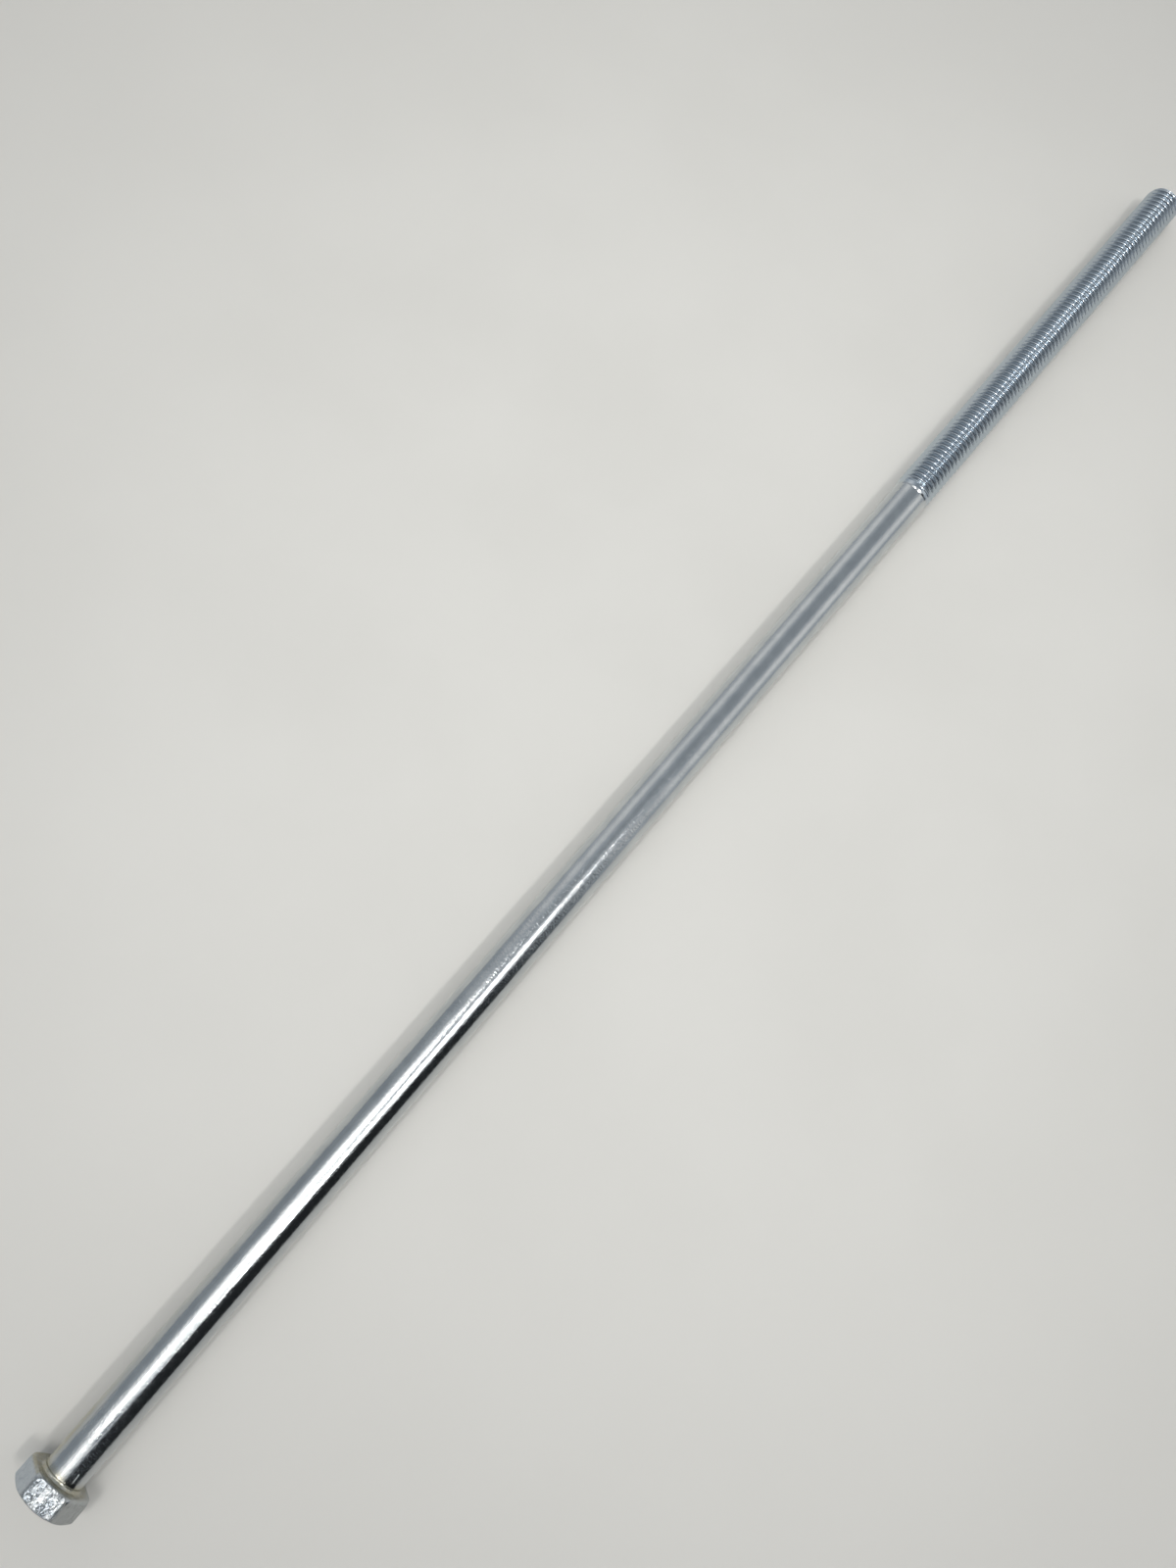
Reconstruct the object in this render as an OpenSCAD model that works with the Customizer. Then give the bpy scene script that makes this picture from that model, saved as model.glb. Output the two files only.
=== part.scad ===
// Pivot bolt: a long hexagon-headed bolt, forged and thread-rolled from one round bar.
// It lies along +X. The origin is the centre of the bearing face under the head, so the head is on
// the -X side and the shank, the thread and the point run towards +X. Two flats of the hexagon
// face +Z and -Z, and the bolt lies on the lower one. All lengths are in millimetres.

/* [Head] */
// Width across the flats of the hexagon
head_across_flats = 17.2; // [14:0.1:24]
// Height from the bearing face to the outer end
head_height = 7.1; // [5:0.1:12]
// How far the forging leaves each corner short of a sharp one
head_corner_loss = 0.25; // [0.05:0.05:0.8]
// Slope of the chamfer round the outer end, from the end face
head_chamfer_angle = 30; // [15:1:40]
// How far inside the flats the chamfer meets the end face
head_chamfer_inset = 0.35; // [0.1:0.05:1.5]
// Edge broken round the bearing face's corners
bearing_edge_break = 0.5; // [0.1:0.05:1]

/* [Shank] */
// Length from the bearing face to the end of the point
length_under_head = 533.4; // [260:0.1:620]
// Diameter of the plain shank, which is the blank that the thread is rolled on
shank_diameter = 11.8; // [10.4:0.1:12.4]
// Radius of the fillet where the shank meets the bearing face
under_head_fillet = 1.1; // [0.4:0.1:1.6]

/* [Thread] */
// Major diameter over the crests
thread_diameter = 12.6; // [12.5:0.1:15]
// Distance from one crest to the next, here thirteen threads to the inch
thread_pitch = 1.954; // [1.25:0.001:2.5]
// Length from the first crest to the end of the point
thread_length = 157.2; // [40:0.1:240]
// Length of the cone where the shank swells to the major diameter
run_in = 3.4; // [1:0.1:6]
// Length over which the first groove deepens to its full depth
run_out = 2.6; // [0.5:0.1:6]
// Length of the point's chamfer, which slopes at 45 degrees
point_chamfer = 1.3; // [0.4:0.1:2.2]
// Straight steps in each turn of the helix
thread_steps = 16; // [12:1:20]

/* [Hidden] */

smooth = 96;
zinc = [0.72, 0.75, 0.78];

flat_radius = head_across_flats / 2;
sharp_corner_radius = head_across_flats / sqrt(3);
corner_radius = sharp_corner_radius - head_corner_loss;
chamfer_radius = flat_radius - head_chamfer_inset;
chamfer_drop = (corner_radius - chamfer_radius) * tan(head_chamfer_angle);

shank_radius = shank_diameter / 2;
thread_start = length_under_head - thread_length;
shank_end = thread_start - run_in;

// 60 degree thread form: the crest is an eighth of the pitch wide and the root a quarter
flank_angle = 30;
crest_flat = thread_pitch / 8;
root_flat = thread_pitch / 4;
thread_depth = (thread_pitch - crest_flat - root_flat) / 2 / tan(flank_angle);
flank_width = thread_depth * tan(flank_angle);
major_radius = thread_diameter / 2;
root_radius = major_radius - thread_depth;
// the swell and the run-out stay just inside the straight steps of the crest and of the root
swell_radius = major_radius * cos(180 / thread_steps) - 0.05;
run_out_radius = root_radius * cos(180 / thread_steps) - 0.2;
// how far the tool that cuts the point starts outside the crests
tool_clearance = 1;

// The revolved outline that trims the hexagon: the rounded corners, the chamfer round the outer
// end and the small break at the bearing face, which lies at height zero
module head_turning() {
  rotate_extrude($fn = smooth)
    polygon([
      [0, 0],
      [corner_radius - bearing_edge_break, 0],
      [corner_radius, bearing_edge_break],
      [corner_radius, head_height - chamfer_drop],
      [chamfer_radius, head_height],
      [0, head_height]
    ]);
}

// The forged head, drawn upwards from its bearing face and with two flats facing the X axis
module hex_head() {
  intersection() {
    rotate([0, 0, 30])
      cylinder(r = sharp_corner_radius, h = head_height, $fn = 6);
    head_turning();
  }
}

// The concave ring of metal between the bearing face and the shank
module head_fillet() {
  rotate_extrude($fn = smooth)
    difference() {
      square([shank_radius + under_head_fillet, under_head_fillet]);
      translate([shank_radius + under_head_fillet, under_head_fillet])
        circle(r = under_head_fillet, $fn = smooth);
    }
}

// The plain shank, the cone that swells from it to the first crest, and the cone that the
// first groove fades into
module shank() {
  cylinder(r = shank_radius, h = shank_end, $fn = smooth);
  translate([0, 0, shank_end])
    cylinder(r1 = shank_radius, r2 = swell_radius, h = run_in, $fn = smooth);
  translate([0, 0, thread_start])
    cylinder(r1 = swell_radius, r2 = run_out_radius, h = run_out, $fn = smooth);
}

// One pitch of the thread's profile, as radius and height: across the root, up the flank and
// across the crest
profile = [
  [root_radius, 0],
  [root_radius, root_flat],
  [major_radius, root_flat + flank_width],
  [major_radius, root_flat + flank_width + crest_flat]
];

// The helix turns in straight steps, and the bolt lies on the middle of one, not on a corner
function helix_angle(s) = 360 * (s + 0.5) / thread_steps;

// Where corner c of the profile stands after s steps round the helix
function helix_point(c, s) = [
  profile[c][0] * cos(helix_angle(s)),
  profile[c][0] * sin(helix_angle(s)),
  profile[c][1] + thread_pitch * s / thread_steps
];

// A right-hand helical ridge with a flat crest, closed at both ends by a fan round the axis
module thread_helix(turns) {
  corners = len(profile);
  steps = turns * thread_steps;
  // one row of corners for each step, then one more turn of the root to close the last flank
  rows = [for (s = [0:steps]) for (c = [0:corners - 1]) helix_point(c, s)];
  last_root = [for (s = [1:thread_steps]) helix_point(0, steps + s)];
  middles = [[0, 0, thread_pitch / 2], [0, 0, (turns + 0.5) * thread_pitch]];
  low_middle = len(rows) + len(last_root);
  high_middle = low_middle + 1;
  // the index of a point: past the profile's last corner comes the root of the next turn
  function at(c, s) =
    c == corners ? at(0, s + thread_steps)
    : s <= steps ? s * corners + c
    : len(rows) + s - steps - 1;
  flanks = [
    for (s = [0:steps - 1])
      for (c = [0:corners - 1])
        each [
          [at(c, s), at(c + 1, s), at(c + 1, s + 1)],
          [at(c, s), at(c + 1, s + 1), at(c, s + 1)]
        ]
  ];
  low_end = concat(
    [for (s = [0:thread_steps - 1]) [low_middle, at(0, s), at(0, s + 1)]],
    [for (c = [0:corners - 1]) [low_middle, at(c + 1, 0), at(c, 0)]]
  );
  high_end = concat(
    [for (s = [steps:steps + thread_steps - 1]) [high_middle, at(0, s + 1), at(0, s)]],
    [for (c = [0:corners - 1]) [high_middle, at(c, steps), at(c + 1, steps)]]
  );
  polyhedron(points = concat(rows, last_root, middles), faces = concat(flanks, low_end, high_end));
}

// The revolved outline that trims the ridge's ends: flat at the start, and the point at 45 degrees
module thread_turning() {
  rotate_extrude($fn = smooth)
    polygon([
      [0, thread_start],
      [major_radius + tool_clearance, thread_start],
      [major_radius + tool_clearance, length_under_head - point_chamfer - tool_clearance],
      [major_radius - point_chamfer, length_under_head],
      [0, length_under_head]
    ]);
}

// The rolled thread: the ridge runs a turn past each end before it is trimmed
module threaded_end() {
  intersection() {
    translate([0, 0, thread_start - thread_pitch])
      thread_helix(ceil(thread_length / thread_pitch) + 1);
    thread_turning();
  }
}

module pivot_bolt() {
  color(zinc)
    rotate([0, 90, 0]) {
      mirror([0, 0, 1]) hex_head();
      head_fillet();
      shank();
      threaded_end();
    }
}

pivot_bolt();
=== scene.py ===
import math
from collections import namedtuple

import bpy
from mathutils import Matrix, Vector, noise


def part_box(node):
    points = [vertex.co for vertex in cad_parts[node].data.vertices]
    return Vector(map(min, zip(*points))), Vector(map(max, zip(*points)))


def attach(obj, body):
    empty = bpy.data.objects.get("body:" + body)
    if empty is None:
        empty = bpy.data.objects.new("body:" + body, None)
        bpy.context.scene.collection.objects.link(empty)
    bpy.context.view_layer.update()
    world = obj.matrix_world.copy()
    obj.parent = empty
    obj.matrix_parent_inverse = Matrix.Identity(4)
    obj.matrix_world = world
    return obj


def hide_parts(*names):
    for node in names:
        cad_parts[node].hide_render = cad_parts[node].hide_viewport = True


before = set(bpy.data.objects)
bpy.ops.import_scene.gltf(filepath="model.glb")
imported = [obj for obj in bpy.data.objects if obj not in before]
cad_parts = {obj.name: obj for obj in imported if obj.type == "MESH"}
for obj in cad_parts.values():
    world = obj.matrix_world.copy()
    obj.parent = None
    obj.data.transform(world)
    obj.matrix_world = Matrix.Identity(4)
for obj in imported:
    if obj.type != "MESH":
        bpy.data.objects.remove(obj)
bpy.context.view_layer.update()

# ---------------------------------------------------------------------------------------------
# Sizes in millimetres, as in the part's source. The bolt lies along +X, the bearing face at x = 0
# ---------------------------------------------------------------------------------------------
MM = 0.001
NODE = "pivot_bolt"
low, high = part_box(NODE)
HEAD_HEIGHT = -low[0] / MM
LENGTH = high[0] / MM
FLAT_RADIUS = high[2] / MM              # from the axis to a flat of the hexagon

CHAMFER_RADIUS = FLAT_RADIUS - 0.35     # where the chamfer meets the end face
CHAMFER_SLOPE = math.tan(math.radians(30))
CORNER_ROUND = 1.15                     # radius of the hexagon's upright corners
EDGE_BREAK = 0.32                       # rounding of the edge round the bearing face
TRIM_RADIUS = 9.02                      # the corners are turned off to this at the bearing face
TRIM_DEPTH = 0.68                       # and are back to full size this much further out
TRIM_LENGTH = 1.9                       # and this far along the head
TRIM_MARGIN = 0.08                      # between that limit and the outline of the bearing face
TRIM_LEAN = 0.25                        # how much of the edge's rounding the limit follows
SIDE_END = 0.10                         # the sides stop this far before the chamfer's edge
FLAT_FADE = 0.15                        # share of a side over which its lumps fade at either end
END_BREAK = 0.08                        # rounding of the edge round the end face
END_DROP = 0.055
# over the edge between a side and the chamfer: steps along x and inwards
CHAMFER_PROFILE = ((0.01, 0.02), (-0.06, 0.10), (-0.12, 0.22))

SHANK_RADIUS = 5.9
FILLET = 0.85
BEAD = 0.045                            # height of the roll where the fillet meets the shank
BEAD_AT = 0.28                          # its middle, from the end of the fillet
BEAD_WIDTH = 0.17
BEAD_UNEVEN = 0.8                       # share of its height that comes and goes round the shank
BEAD_LUMPS = 9
EVEN_AT_HEAD = 6                        # the bar's unevenness fades in over this
EVEN_AT_THREAD = 8                      # and out over this

PITCH = 1.954
MAJOR_RADIUS = 6.3
BLANK_RADIUS = MAJOR_RADIUS - 0.08      # of the swelling that the first groove is rolled into
THREAD_LENGTH = 157.2
THREAD_START = LENGTH - THREAD_LENGTH
RUN_IN = 3.4                            # where the climbing rows of the mesh begin
SWELL = 1.5                             # over which the shank swells to the first crest
CREST_RISE = 1.5                        # over which the crests reach their full height
RUN_OUT = 2.6                           # over which the first groove deepens
GROOVE_LEAD = 0.3                       # how far before the thread's start the groove begins,
SWELL_LEAD = 0.05                       # the swell ends
RISE_LEAD = 0.1                         # and the crests begin to rise
FLANK_SLOPE = 1 / math.tan(math.radians(30))
CROWN_END = 0.17                        # half the width of a rolled crest's low crown
CROWN_SLOPE = 0.42
ROOT_ROUND = 0.40
POINT_CHAMFER = 1.3
CREST_AT = 382.80                       # a crest on the side that faces the camera
CREST_ANGLE = math.radians(89)

# Unevenness of a surface: height, length of a wave along the bolt, waves round it, seed
Wave = namedtuple("Wave", "height length round seed")
DRAWN_WAVES = (Wave(0.012, 45, 1.6, 1), Wave(0.006, 11, 3.0, 2))
CREST_WAVE = Wave(0.008, 1.4, 3, 3)
# and of the forged head: height, size of a lump, seed
Lump = namedtuple("Lump", "height size seed")
FLAT_LUMPS = (Lump(0.05, 3.2, 4), Lump(0.02, 1.1, 5))
END_LUMP = Lump(0.06, 2.6, 7)
BEARING_HEIGHT = 0.03
BEARING_LUMPS = 3
BEARING_SEED = 6
BEAD_SEED = 8

# ---------------------------------------------------------------------------------------------
# How finely the mesh is divided
# ---------------------------------------------------------------------------------------------
COLUMNS = 66                            # round the shank and the thread
HEAD_COLUMNS = 2 * COLUMNS
CROWD = 0.72                            # how far the head's columns crowd towards its corners
END_CROWD = 0.8 * CROWD
SHANK_STEP = 5.0
RING_GAP = 0.02                         # between the thread's climbing rows and its flat rings
BEAD_STATIONS = (0.14, 0.28, 0.42, 0.60, 0.95, 1.5)
# rows of the thread from a crest to the middle of the next groove, in pitches
ROWS = (0.0, 0.031, 0.058, 0.087, 0.15, 0.26, 0.357, 0.425, 0.5)
PHASES = list(ROWS) + [1 - p for p in reversed(ROWS[1:-1])]
FILLET_RINGS = 7
BEARING_RINGS = 5
EDGE_RINGS = 3
SIDE_RINGS = 18
END_RINGS = 8


def smooth(a, b, x):
    """0 below a, 1 above b, and a smooth step between."""
    t = min(max((x - a) / (b - a), 0.0), 1.0)
    return t * t * (3 - 2 * t)


def rough(x, y, z, seed):
    """Smooth noise from -1 to 1 at a point in millimetres."""
    return noise.noise(Vector((x + 31.7 * seed, y - 12.3 * seed, z + 7.9 * seed)))


def wave_height(wave, x, angle):
    return wave.height * rough(x / wave.length, wave.round * math.cos(angle),
                               wave.round * math.sin(angle), wave.seed)


# ---------------------------------------------------------------------------------------------
# The mesh: rings of points joined by quads
# ---------------------------------------------------------------------------------------------
points = []
faces = []
root_depth_and_shade = []                         # 0 on a crest, 1 at the bottom of a groove and on the head's chamfer edge; it also marks where shade is painted
forged = []                             # 1 on the head
angles = [2 * math.pi * i / COLUMNS for i in range(COLUMNS)]


def add(x, radius, angle, depth=0.0, head=0.0):
    points.append((x, radius * math.cos(angle), radius * math.sin(angle)))
    root_depth_and_shade.append(depth)
    forged.append(head)
    return len(points) - 1


def join(first, second):
    """Quads between two rings of the same count, the second one further towards +X."""
    count = len(first)
    for i in range(count):
        k = (i + 1) % count
        faces.append((first[i], second[i], second[k], first[k]))


def join_all(rings):
    for first, second in zip(rings, rings[1:]):
        join(first, second)


# -- the thread: a grid that climbs one pitch in each turn, so its rows follow the crests
def groove_depth(off):
    """Depth of the rolled profile, at a distance along the axis from the crest."""
    crown = min(off, CROWN_END) * CROWN_SLOPE
    root_from = PITCH / 2 - ROOT_ROUND
    flank = min(max(off - CROWN_END, 0.0), root_from - CROWN_END) * FLANK_SLOPE
    past = max(off - root_from, 0.0)
    return crown + flank + FLANK_SLOPE * (past - past ** 2 / (2 * ROOT_ROUND))


FULL_DEPTH = groove_depth(PITCH / 2)


def groove(phase):
    """How deep the profile is at a phase of the pitch, from 0 on the crest to 1 at the root."""
    return groove_depth(min(phase % 1.0, 1 - phase % 1.0) * PITCH) / FULL_DEPTH


def thread_radius(x, phase, angle):
    """Radius of the thread, and how deep in a groove it is, from 0 to 1."""
    deep = groove(phase)
    ramp = smooth(THREAD_START - GROOVE_LEAD, THREAD_START + RUN_OUT, x)
    swell = smooth(THREAD_START - SWELL, THREAD_START - SWELL_LEAD, x)
    rise = smooth(THREAD_START - RISE_LEAD, THREAD_START + CREST_RISE, x)
    crest = SHANK_RADIUS + (BLANK_RADIUS - SHANK_RADIUS) * swell + (MAJOR_RADIUS - BLANK_RADIUS) * rise
    radius = crest - FULL_DEPTH * ramp * deep
    radius += ramp * (1 - deep) * wave_height(CREST_WAVE, x, angle)
    point = MAJOR_RADIUS - POINT_CHAMFER + (LENGTH - x)
    return min(radius, point), ramp * deep


def thread_column(i, grid_start):
    """One column of the thread's grid: the number of each row and the index of its point."""
    crest_shift = CREST_AT - PITCH * CREST_ANGLE / (2 * math.pi)
    first_turn = math.floor((grid_start - crest_shift) / PITCH) - 2
    last_turn = math.ceil((LENGTH - crest_shift) / PITCH) + 1
    column = {}
    for turn in range(first_turn, last_turn + 1):
        for j, phase in enumerate(PHASES):
            x = crest_shift + PITCH * (turn + phase + i / COLUMNS)
            if grid_start + RING_GAP < x < LENGTH - RING_GAP:
                radius, deep = thread_radius(x, phase, angles[i])
                column[turn * len(PHASES) + j] = add(x, radius, angles[i], deep)
    return column


def thread():
    """The thread between two flat rings, which it returns."""
    grid_start = THREAD_START - RUN_IN
    columns = [thread_column(i, grid_start) for i in range(COLUMNS)]
    start_ring = [add(grid_start, SHANK_RADIUS, a) for a in angles]
    end_ring = [add(LENGTH, MAJOR_RADIUS - POINT_CHAMFER, a) for a in angles]
    for i in range(COLUMNS):
        k = (i + 1) % COLUMNS
        shift = len(PHASES) if k == 0 else 0
        near = columns[i]
        far = {row - shift: index for row, index in columns[k].items()}
        low_row = max(min(near), min(far))
        high_row = min(max(near), max(far))
        for row in range(low_row, high_row):
            faces.append((near[row], near[row + 1], far[row + 1], far[row]))
        # the rows end sooner or later from column to column: fans close them on the flat rings
        low_near = [start_ring[i]] + [near[r] for r in range(min(near), low_row + 1)]
        low_far = [start_ring[k]] + [far[r] for r in range(min(far), low_row + 1)]
        high_near = [near[r] for r in range(high_row, max(near) + 1)] + [end_ring[i]]
        high_far = [far[r] for r in range(high_row, max(far) + 1)] + [end_ring[k]]
        faces.append(tuple(low_near + low_far[::-1]))
        faces.append(tuple(high_near + high_far[::-1]))
    return start_ring, end_ring


def point_face(end_ring):
    """The flat end of the point."""
    rings = [end_ring]
    for share in (0.9, 0.5):
        rings.append([add(LENGTH, (MAJOR_RADIUS - POINT_CHAMFER) * share, a) for a in angles])
    join_all(rings)
    centre = add(LENGTH, 0, 0)
    for i in range(COLUMNS):
        faces.append((rings[-1][i], centre, rings[-1][(i + 1) % COLUMNS]))


# -- the plain shank
def shank(start_ring):
    """The shank, from the end of the fillet to the thread. Returns its first ring."""
    end = THREAD_START - RUN_IN
    count = int((end - FILLET) / SHANK_STEP)
    stations = [FILLET + (end - FILLET) * (k / count) for k in range(count)]
    stations[1:1] = [FILLET + dx for dx in BEAD_STATIONS]
    rings = []
    for x in stations:
        fade = smooth(FILLET, FILLET + EVEN_AT_HEAD, x) * (1 - smooth(end - EVEN_AT_THREAD, end, x))
        bead = BEAD * math.exp(-((x - FILLET - BEAD_AT) / BEAD_WIDTH) ** 2)
        ring = []
        for a in angles:
            wobble = sum(wave_height(wave, x, a) for wave in DRAWN_WAVES)
            lump = rough(BEAD_LUMPS * math.cos(a), BEAD_LUMPS * math.sin(a), 0.0, BEAD_SEED)
            uneven = 1 + BEAD_UNEVEN * lump
            ring.append(add(x, SHANK_RADIUS + fade * wobble + bead * uneven, a))
        rings.append(ring)
    join_all(rings + [start_ring])
    return rings[0]


# -- the head, from the fillet over the bearing face and the sides to the middle of the end face
def hexagon(angle, apothem):
    """Radius of a hexagon with rounded corners, which are at 0, 60, 120 degrees and so on."""
    off = (angle + math.pi / 6) % (math.pi / 3) - math.pi / 6
    flat = apothem / math.cos(math.pi / 6 - abs(off))
    centre_radius = (apothem - CORNER_ROUND) / math.cos(math.pi / 6)
    edge = math.atan2(CORNER_ROUND * math.sin(math.pi / 6),
                      centre_radius + CORNER_ROUND * math.cos(math.pi / 6))
    if abs(off) >= edge:
        return flat
    return centre_radius * math.cos(off) + math.sqrt(
        CORNER_ROUND ** 2 - (centre_radius * math.sin(off)) ** 2)


def trimmed(x):
    """The turned limit of the corners near the bearing face."""
    t = min(max(-x / TRIM_LENGTH, 0.0), 1.0)
    return TRIM_RADIUS + TRIM_DEPTH * math.sqrt(1 - (1 - t) ** 2)


def chamfer_x(angle):
    """Where the chamfer cuts the side of the hexagon."""
    return -HEAD_HEIGHT + (hexagon(angle, FLAT_RADIUS) - CHAMFER_RADIUS) * CHAMFER_SLOPE


def head_ring(place, crowd, depth=0.0):
    """A ring of the head, where place gives x and the radius at an angle."""
    ring = []
    for i in range(HEAD_COLUMNS):
        even = 2 * math.pi * i / HEAD_COLUMNS
        angle = even - crowd / 6 * math.sin(6 * even)
        x, radius = place(angle)
        ring.append(add(x, radius, angle, depth, 1.0))
    return ring


def fillet_rings():
    for k in range(1, FILLET_RINGS + 1):
        turn = math.pi / 2 * k / FILLET_RINGS
        x = FILLET * (1 - math.sin(turn))
        radius = SHANK_RADIUS + FILLET * (1 - math.cos(turn))
        yield head_ring(lambda a: (x, radius), CROWD * k / (FILLET_RINGS + BEARING_RINGS))


def bearing_rings():
    for k in range(1, BEARING_RINGS + 1):
        part = k / BEARING_RINGS

        def place(a):
            inner = SHANK_RADIUS + FILLET
            outer = min(hexagon(a, FLAT_RADIUS - EDGE_BREAK), TRIM_RADIUS - TRIM_MARGIN)
            lump = rough(BEARING_LUMPS * math.cos(a), BEARING_LUMPS * math.sin(a), part, BEARING_SEED)
            x = BEARING_HEIGHT * 4 * part * (1 - part) * lump
            return x, inner + (outer - inner) * part

        yield head_ring(place, CROWD * (FILLET_RINGS + k) / (FILLET_RINGS + BEARING_RINGS))


def edge_rings():
    for k in range(1, EDGE_RINGS + 1):
        turn = math.pi / 2 * k / EDGE_RINGS
        inset = EDGE_BREAK * (1 - math.sin(turn))
        drop = EDGE_BREAK * (1 - math.cos(turn))
        yield head_ring(lambda a: (-drop, min(hexagon(a, FLAT_RADIUS - inset),
                                              trimmed(-drop) - TRIM_LEAN * inset)), CROWD)


def side_rings():
    for k in range(1, SIDE_RINGS + 1):
        part = k / SIDE_RINGS
        fade = smooth(0, FLAT_FADE, part) * smooth(1, 1 - FLAT_FADE, part)

        def place(a):
            end = chamfer_x(a) + SIDE_END
            x = -EDGE_BREAK + (end + EDGE_BREAK) * part
            radius = min(hexagon(a, FLAT_RADIUS), trimmed(x))
            y, z = radius * math.cos(a), radius * math.sin(a)
            lumps = sum(lump.height * rough(x / lump.size, y / lump.size, z / lump.size, lump.seed)
                        for lump in FLAT_LUMPS)
            return x, radius + lumps * fade

        yield head_ring(place, CROWD)


def chamfer_rings():
    """The edge between the sides and the chamfer, which gets the painted shade of a groove's bottom.
    """
    for dx, inset in CHAMFER_PROFILE:
        yield head_ring(lambda a: (max(chamfer_x(a) + dx, -HEAD_HEIGHT + 0.02),
                                   hexagon(a, FLAT_RADIUS) - inset), CROWD, 1.0)


def end_rings():
    for radius, x in ((CHAMFER_RADIUS + END_BREAK, END_DROP), (CHAMFER_RADIUS - END_BREAK, 0.0)):
        yield head_ring(lambda a: (x - HEAD_HEIGHT, radius), END_CROWD)
    for k in range(1, END_RINGS + 1):
        part = 1 - k / (END_RINGS + 1)
        radius = CHAMFER_RADIUS * part
        fade = min(1, 4 * (1 - part))

        def place(a):
            lump = rough(radius * math.cos(a) / END_LUMP.size, radius * math.sin(a) / END_LUMP.size,
                         0, END_LUMP.seed)
            return -HEAD_HEIGHT + END_LUMP.height * lump * fade, radius

        yield head_ring(place, END_CROWD * part)


def head(shank_ring):
    """The head, joined to the shank's first ring, which has half as many points."""
    rings = [*fillet_rings(), *bearing_rings(), *edge_rings(), *side_rings(), *chamfer_rings(),
             *end_rings()]
    for first, second in zip(rings, rings[1:]):
        join(second, first)
    middle = add(-HEAD_HEIGHT, 0, 0, 0.0, 1.0)
    for i in range(HEAD_COLUMNS):
        faces.append((middle, rings[-1][i], rings[-1][(i + 1) % HEAD_COLUMNS]))
    for i in range(COLUMNS):
        a, b = shank_ring[i], shank_ring[(i + 1) % COLUMNS]
        c0, c1, c2 = (rings[0][(2 * i + n) % HEAD_COLUMNS] for n in range(3))
        faces.extend(((a, c1, c0), (a, b, c1), (b, c2, c1)))


def bolt_object():
    thread_ring, end_ring = thread()
    point_face(end_ring)
    head(shank(thread_ring))
    mesh = bpy.data.meshes.new("zinc_bolt")
    mesh.from_pydata([(x * MM, y * MM, z * MM) for x, y, z in points], [], faces)
    mesh.validate()
    mesh.update()
    for name, values in (("root_depth_and_shade", root_depth_and_shade), ("forged", forged)):
        layer = mesh.attributes.new(name, "FLOAT", "POINT")
        layer.data.foreach_set("value", values)
    mesh.shade_smooth()
    return bpy.data.objects.new("zinc_bolt", mesh)


bolt = bolt_object()
bpy.context.scene.collection.objects.link(bolt)


# ---------------------------------------------------------------------------------------------
# Materials
# ---------------------------------------------------------------------------------------------
ZINC = (0.525, 0.553, 0.570, 1)
ZINC_PALE = (0.585, 0.610, 0.622, 1)
YELLOWED = (0.47, 0.45, 0.36, 1)
# painted reflection and painted shade for the head's +Y and -Y sides
BLUE_SIDE_REFLECTION = (0.575, 0.63, 0.69, 1)
GREY_SIDE_SHADE = (0.46, 0.48, 0.485, 1)
DARK_PATCH = (0.37, 0.405, 0.435, 1)
THREAD_BLUE = (0.495, 0.563, 0.63, 1)
# painted shade for the bottom of the grooves and the head's chamfer edge
GROOVE_SHADE = (0.14, 0.16, 0.19, 1)

BENCH = (0.80, 0.782, 0.735, 1)
BENCH_PALE = (0.83, 0.812, 0.765, 1)
# painted shade: the bench's colour far from the bolt, where the painted pool of light ends
BENCH_FALLOFF_SHADE = (0.585, 0.572, 0.54, 1)


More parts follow.
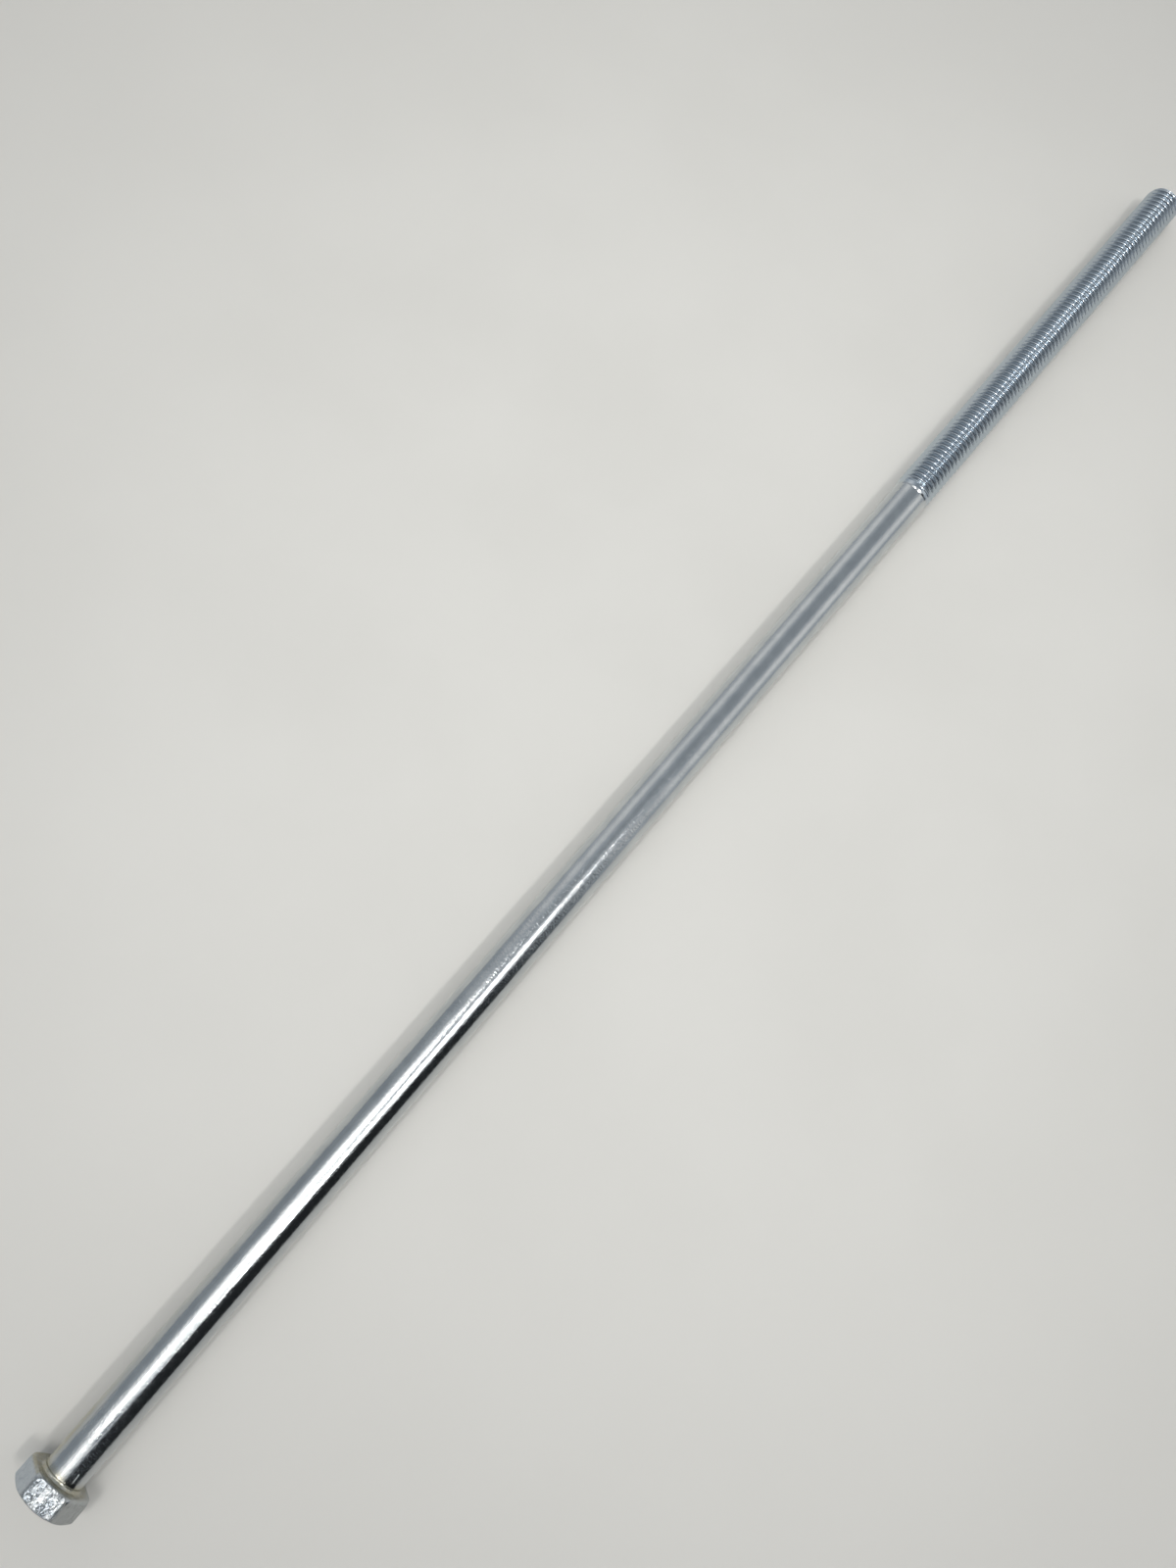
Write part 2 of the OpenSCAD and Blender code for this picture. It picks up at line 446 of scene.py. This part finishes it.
class Nodes:
    """A node tree with one-line calls for its maths."""

    def __init__(self, tree):
        self.tree = tree
        tree.nodes.clear()

    def new(self, kind, **values):
        node = self.tree.nodes.new(kind)
        for key, value in values.items():
            setattr(node, key, value)
        return node

    def put(self, socket, value):
        if isinstance(value, bpy.types.NodeSocket):
            self.tree.links.new(value, socket)
        else:
            socket.default_value = value

    def fill(self, node, *values):
        for socket, value in zip(node.inputs, values):
            self.put(socket, value)
        return node.outputs[0]

    def math(self, operation, *values):
        return self.fill(self.new("ShaderNodeMath", operation=operation), *values)

    def product(self, first, *others):
        for other in others:
            first = self.math("MULTIPLY", first, other)
        return first

    def distance(self, a, b):
        return self.math("SQRT", self.math("ADD", self.product(a, a), self.product(b, b)))

    def step(self, value, a, b, to_a=0.0, to_b=1.0):
        """to_a at a, to_b at b, and a smooth step between, whichever of a and b is larger."""
        node = self.new("ShaderNodeMapRange", interpolation_type="SMOOTHSTEP")
        return self.fill(node, value, a, b, to_a, to_b)

    def mix(self, factor, a, b):
        """A mix of two colours."""
        node = self.new("ShaderNodeMix", data_type="RGBA")
        self.put(node.inputs["Factor"], factor)
        self.put(node.inputs[6], a)
        self.put(node.inputs[7], b)
        return node.outputs[2]

    def blend(self, factor, a, b):
        """A mix of two numbers."""
        node = self.new("ShaderNodeMix", data_type="FLOAT")
        self.put(node.inputs["Factor"], factor)
        self.put(node.inputs[2], a)
        self.put(node.inputs[3], b)
        return node.outputs[0]

    def blend_vectors(self, factor, a, b):
        node = self.new("ShaderNodeMix", data_type="VECTOR")
        self.put(node.inputs["Factor"], factor)
        self.put(node.inputs[4], a)
        self.put(node.inputs[5], b)
        return node.outputs[1]

    def noise(self, vector, scale, detail=2.0, roughness=0.5, distortion=0.0):
        """Noise around 0.5, with scale in waves a metre."""
        node = self.new("ShaderNodeTexNoise")
        self.put(node.inputs["Vector"], vector)
        self.put(node.inputs["Scale"], scale)
        self.put(node.inputs["Detail"], detail)
        self.put(node.inputs["Roughness"], roughness)
        self.put(node.inputs["Distortion"], distortion)
        return node.outputs[0]

    def stretch(self, vector, scale):
        node = self.new("ShaderNodeMapping")
        self.put(node.inputs["Vector"], vector)
        self.put(node.inputs["Scale"], scale)
        return node.outputs[0]

    def split(self, vector):
        node = self.new("ShaderNodeSeparateXYZ")
        self.put(node.inputs[0], vector)
        return node.outputs

    def coordinate(self, name):
        return self.new("ShaderNodeTexCoord").outputs[name]

    def attribute(self, name):
        return self.new("ShaderNodeAttribute", attribute_name=name).outputs["Fac"]

    def bump(self, height, strength, distance, normal=None):
        node = self.new("ShaderNodeBump")
        self.put(node.inputs["Height"], height)
        self.put(node.inputs["Strength"], strength)
        self.put(node.inputs["Distance"], distance)
        if normal is not None:
            self.put(node.inputs["Normal"], normal)
        return node.outputs[0]


def principled(name):
    """A new material: itself, its nodes and its shader."""
    material = bpy.data.materials.new(name)
    material.use_nodes = True
    n = Nodes(material.node_tree)
    shader = n.new("ShaderNodeBsdfPrincipled")
    output = n.new("ShaderNodeOutputMaterial")
    n.put(output.inputs["Surface"], shader.outputs[0])
    return material, n, shader


# What the bolt's material is made from: its nodes, the object's coordinates in metres, the two
# values that the mesh carries, and 1 on the thread
Place = namedtuple("Place", "n where x y z deep head threaded")


def yellowing(p):
    """How yellow the surface is: the coating under the head, and a band along the +Y side of the shank
    close to it.
    """
    n = p.n
    under_head = n.product(
        n.step(p.x, -0.6 * MM, -0.2 * MM),
        n.step(p.x, 3.5 * MM, 0.8 * MM),
        n.step(n.distance(p.y, p.z), 8.8 * MM, 7.0 * MM, 0.12, 0.9))
    # a yellow band along the +Y side of the shank, strongest near the head
    along_shank = n.product(
        n.math("MAXIMUM", n.step(p.x, 36 * MM, 8 * MM, 0.0, 0.95),
               n.step(p.x, 110 * MM, 50 * MM, 0.0, 0.2)),
        n.step(p.y, 4.6 * MM, 5.6 * MM))
    clouds = n.step(n.noise(p.where, 420, 2.0), 0.25, 0.6, 0.45, 1.0)
    return n.product(n.math("MAXIMUM", under_head, along_shank), clouds)


def coating_colour(p):
    """Blue passivated zinc, clouded, with other tints on the head and the thread, painted reflection
    and painted shade on the head's two sides, and painted shade in the grooves and on the chamfer's
    edge.
    """
    n = p.n
    colour = n.mix(n.step(n.noise(p.where, 160, 3.0), 0.35, 0.7), ZINC, ZINC_PALE)
    colour = n.mix(yellowing(p), colour, YELLOWED)
    behind_edge = n.step(p.x, -0.2 * MM, -1.2 * MM)
    # painted reflection on the head's +Y side and painted shade on its -Y side
    painted_reflection_side = n.product(p.head, n.step(p.y, 4.5 * MM, 5.6 * MM), behind_edge)
    painted_shade_side = n.product(p.head, n.step(p.y, -4.5 * MM, -5.6 * MM), behind_edge)
    colour = n.mix(painted_reflection_side, colour, BLUE_SIDE_REFLECTION)
    colour = n.mix(painted_shade_side, colour, GREY_SIDE_SHADE)
    # darker patches on the top flat, more of them towards +Y
    mottle = n.math("MULTIPLY_ADD", p.y, 20.0, n.noise(p.where, 330, 2.0))
    dark_patch = n.product(p.head, n.step(mottle, 0.40, 0.60), n.step(p.z, 7.9 * MM, 8.4 * MM))
    colour = n.mix(dark_patch, colour, DARK_PATCH)
    colour = n.mix(n.product(p.threaded, 0.75), colour, THREAD_BLUE)
    # painted shade: dark colour in the bottom of the grooves and along the head's chamfer edge
    return n.mix(n.step(p.deep, 0.72, 0.97), colour, GROOVE_SHADE)


def coating_roughness(p):
    n = p.n
    bar = n.blend(n.step(n.noise(p.where, 900, 3.0), 0.3, 0.75), 0.08, 0.16)
    return n.blend(p.deep, n.blend(p.head, bar, 0.22), 0.34)


def scuff(p):
    """A scuffed patch beside the highlight, a little way from the head."""
    n = p.n
    return n.product(
        n.step(p.x, 10 * MM, 14 * MM), n.step(p.x, 28 * MM, 19 * MM),
        n.step(p.y, -0.8 * MM, 0.2 * MM), n.step(p.y, 4.2 * MM, 2.6 * MM),
        n.step(p.z, 0.0, 2 * MM))


def scratch(p):
    """One scratch along the bar, close to the head."""
    n = p.n
    across = n.math("ADD", p.y, n.math("MULTIPLY_ADD", p.x, -0.054, 3.1 * MM))
    return n.product(
        n.step(n.math("ABSOLUTE", across), 0.0, 0.14 * MM, 1.0, 0.0),
        n.step(p.x, 1.8 * MM, 2.6 * MM), n.step(p.x, 5.2 * MM, 4.4 * MM),
        n.step(p.z, 0.0, 2 * MM))


def bar_grain(p):
    """Faint drawing lines and orange peel on the bar, calmer on the thread and on one side."""
    n = p.n
    calm = n.math("ADD", n.blend(p.threaded, 1.0, 0.12), n.product(scuff(p), 1.6))
    calm = n.product(calm, n.step(p.y, -3.1 * MM, -4.2 * MM, 1.0, 0.45))
    normal = None
    for height, strength, distance in (
        (n.noise(n.stretch(p.where, (25, 1300, 1300)), 1.0, 2.0), 0.12, 0.2 * MM),
        (n.noise(p.where, 420, 2.0, 0.5), 0.10, 0.3 * MM),
        (n.noise(p.where, 1500, 2.0, 0.6), 0.36, 0.1 * MM),
        (n.noise(p.where, 3400, 2.0, 0.6), 0.30, 0.06 * MM),
    ):
        normal = n.bump(n.product(height, calm), strength, distance, normal)
    return n.bump(scratch(p), 1.0, 0.06 * MM, normal)


def forged_grain(p):
    """Plates of nearly flat scale with sharp creases between them, boldest on the top flat."""
    n = p.n
    cell = n.noise(n.stretch(p.where, (430, 900, 900)), 1.0, 3.0, 0.6, 0.9)
    crease = n.step(n.math("ABSOLUTE", n.math("SUBTRACT", cell, 0.5)), 0.0, 0.04)
    top_flat = n.step(p.z, 8.2 * MM, 8.52 * MM, 0.14, 1.0)
    normal = n.bump(n.product(crease, top_flat), 0.8, 0.18 * MM)
    return n.bump(n.product(n.noise(p.where, 1300, 3.0, 0.6), top_flat), 0.5, 0.2 * MM, normal)


def zinc_material():
    material, n, shader = principled("zinc_plated_steel")
    where = n.coordinate("Object")
    x, y, z = n.split(where)
    p = Place(n, where, x, y, z, n.attribute("root_depth_and_shade"), n.attribute("forged"),
              n.step(x, 375.2 * MM, 376.2 * MM))
    n.put(shader.inputs["Base Color"], coating_colour(p))
    n.put(shader.inputs["Metallic"], 1.0)
    n.put(shader.inputs["Roughness"], coating_roughness(p))
    n.put(shader.inputs["Normal"], n.blend_vectors(p.head, bar_grain(p), forged_grain(p)))
    return material


bolt.data.materials.append(zinc_material())
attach(bolt, "root")
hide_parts(NODE)

# ---------------------------------------------------------------------------------------------
# Floor: a bench top under the head's lower flat and the last crests
# ---------------------------------------------------------------------------------------------
FLOOR_SLOPE = (FLAT_RADIUS - MAJOR_RADIUS) / (LENGTH - POINT_CHAMFER)
FLOOR_REACH = 2500.0
# the middle of the floor and of its painted pool of light
FLOOR_MIDDLE = (310.0, 30.0)
FLOOR_GAP = 0.01


def bench_corner(side_x, side_y):
    x = FLOOR_MIDDLE[0] + side_x * FLOOR_REACH
    y = FLOOR_MIDDLE[1] + side_y * FLOOR_REACH
    return x * MM, y * MM, (FLOOR_SLOPE * x - FLAT_RADIUS - FLOOR_GAP) * MM


def bench_material():
    """Pale paint, slightly clouded, greyer away from the bolt: a painted pool of light round the bolt.
    """
    material, n, shader = principled("bench_top")
    where = n.coordinate("Object")
    x, y, _ = n.split(where)
    away = n.distance(n.math("SUBTRACT", x, FLOOR_MIDDLE[0] * MM),
                      n.math("SUBTRACT", y, FLOOR_MIDDLE[1] * MM))
    base = n.mix(n.step(n.noise(where, 14, 3.0), 0.3, 0.7), BENCH, BENCH_PALE)
    # painted shade: the bench darkens away from FLOOR_MIDDLE
    n.put(shader.inputs["Base Color"], n.mix(n.step(away, 0.05, 0.42), base, BENCH_FALLOFF_SHADE))
    n.put(shader.inputs["Roughness"], 0.45)
    n.put(shader.inputs["Specular IOR Level"], 0.5)
    return material


def bench_object():
    mesh = bpy.data.meshes.new("bench")
    corners = [bench_corner(*sides) for sides in ((-1, -1), (1, -1), (1, 1), (-1, 1))]
    mesh.from_pydata(corners, [], [(0, 1, 2, 3)])
    mesh.materials.append(bench_material())
    return bpy.data.objects.new("bench", mesh)


bench = bench_object()
bpy.context.scene.collection.objects.link(bench)

# ---------------------------------------------------------------------------------------------
# Light: a plain room with two soft ceiling lights, and the dark shape of whoever stands in front.
# Directions are given as the angle over from the zenith towards -Y, in degrees, and the share
# of the direction that points along +X. A patch's first and last edges may lean with that share
# ---------------------------------------------------------------------------------------------
ROOM = 0.50
LIGHT = 2.3
LAMP = 30.0
LOW_LIGHT = 1.5
DARK = 0.022
COOL = (0.90, 0.98, 1.06, 1)
WARM = (0.995, 0.99, 0.975, 1)

Patch = namedtuple("Patch", "strength over_from from_soft over_to to_soft "
                            "along_from along_to along_soft lean_from lean_to", defaults=(0.0, 0.0))
PATCHES = (
    Patch(0.34, -110, 14, -48, 14, -2, 0.12, 0.10),         # the dimmer left side of the room
    Patch(0.80, -66, 16, -38, 16, 0.14, 0.76, 0.08),        # two pale bands further along
    Patch(0.87, 38, 16, 68, 16, 0.26, 0.76, 0.05),
    Patch(0.365, -24, 14, 28, 14, 0.04, 0.76, 0.05),        # the darker ceiling between them
    Patch(DARK, 21, 9, 99, 3, -0.42, 0.17, 0.06),           # the dark shape
    Patch(0.10, -50, 20, 60, 20, -2, -0.70, 0.05),          # the dim end of the ceiling
    Patch(0.17, -200, 1, 200, 1, -2, -0.84, 0.03),          # a plain wall past the head
    Patch(LOW_LIGHT, -27, 14, 8, 12, -0.62, -0.24, 0.05),   # ceiling lights
    Patch(LIGHT, -29, 11, 31, 5, -0.25, -0.07, 0.04, 0, 85),
    Patch(LIGHT, -26, 8, -4, 4, -0.09, 0.045, 0.03),
    Patch(LIGHT, 15, 3, 36, 4, -0.045, 0.158, 0.03, -60, 0),
    Patch(LAMP, -10.5, 1, -7, 1, -0.24, -0.02, 0.03),       # the tubes in the two lights
    Patch(LAMP, 19, 1, 23, 1, -0.14, 0.11, 0.02),
)


def inside(w, over, along, patch):
    """1 inside a patch of directions, falling off softly at its edges."""
    near = w.math("SUBTRACT", over, w.product(along, patch.lean_from))
    far = w.math("SUBTRACT", over, w.product(along, patch.lean_to))
    return w.product(
        w.step(near, patch.over_from - patch.from_soft, patch.over_from + patch.from_soft),
        w.step(far, patch.over_to + patch.to_soft, patch.over_to - patch.to_soft),
        w.step(along, patch.along_from - patch.along_soft, patch.along_from + patch.along_soft),
        w.step(along, patch.along_to + patch.along_soft, patch.along_to - patch.along_soft))


def room_world():
    world = bpy.data.worlds.new("room")
    world.use_nodes = True
    w = Nodes(world.node_tree)
    background = w.new("ShaderNodeBackground")
    out = w.new("ShaderNodeOutputWorld")
    w.put(out.inputs["Surface"], background.outputs[0])
    along, side, up = w.split(w.coordinate("Generated"))
    over = w.product(w.math("ARCTAN2", w.product(side, -1.0), up), 180 / math.pi)
    level = ROOM
    for patch in PATCHES:
        level = w.blend(inside(w, over, along, patch), level, patch.strength)
    w.put(background.inputs["Color"], w.mix(w.step(level, 0.3, 0.9), COOL, WARM))
    w.put(background.inputs["Strength"], level)
    return world


bpy.context.scene.world = room_world()

# ---------------------------------------------------------------------------------------------
# Camera, for a frame of 1200 x 1600
# ---------------------------------------------------------------------------------------------
CAMERA_AT = Vector((132.635, 6.557, 377.470)) * MM
CAMERA_RIGHT = Vector((0.641344, -0.753400, 0.145156))
CAMERA_UP = Vector((0.725572, 0.657058, 0.204510))
FOCAL_PIXELS = 1321.0
FRAME_PIXELS = 1600.0
SENSOR = 36.0

camera = bpy.data.objects.new("camera", bpy.data.cameras.new("camera"))
bpy.context.scene.collection.objects.link(camera)
camera.data.sensor_width = SENSOR
camera.data.lens = FOCAL_PIXELS / FRAME_PIXELS * SENSOR
camera.data.clip_start = 0.01
camera.data.clip_end = 20
back = CAMERA_RIGHT.cross(CAMERA_UP)
turn = Matrix((CAMERA_RIGHT, CAMERA_UP, back)).transposed().to_4x4()
camera.matrix_world = Matrix.Translation(CAMERA_AT) @ turn
bpy.context.scene.camera = camera

bpy.context.scene.view_settings.view_transform = "Standard"
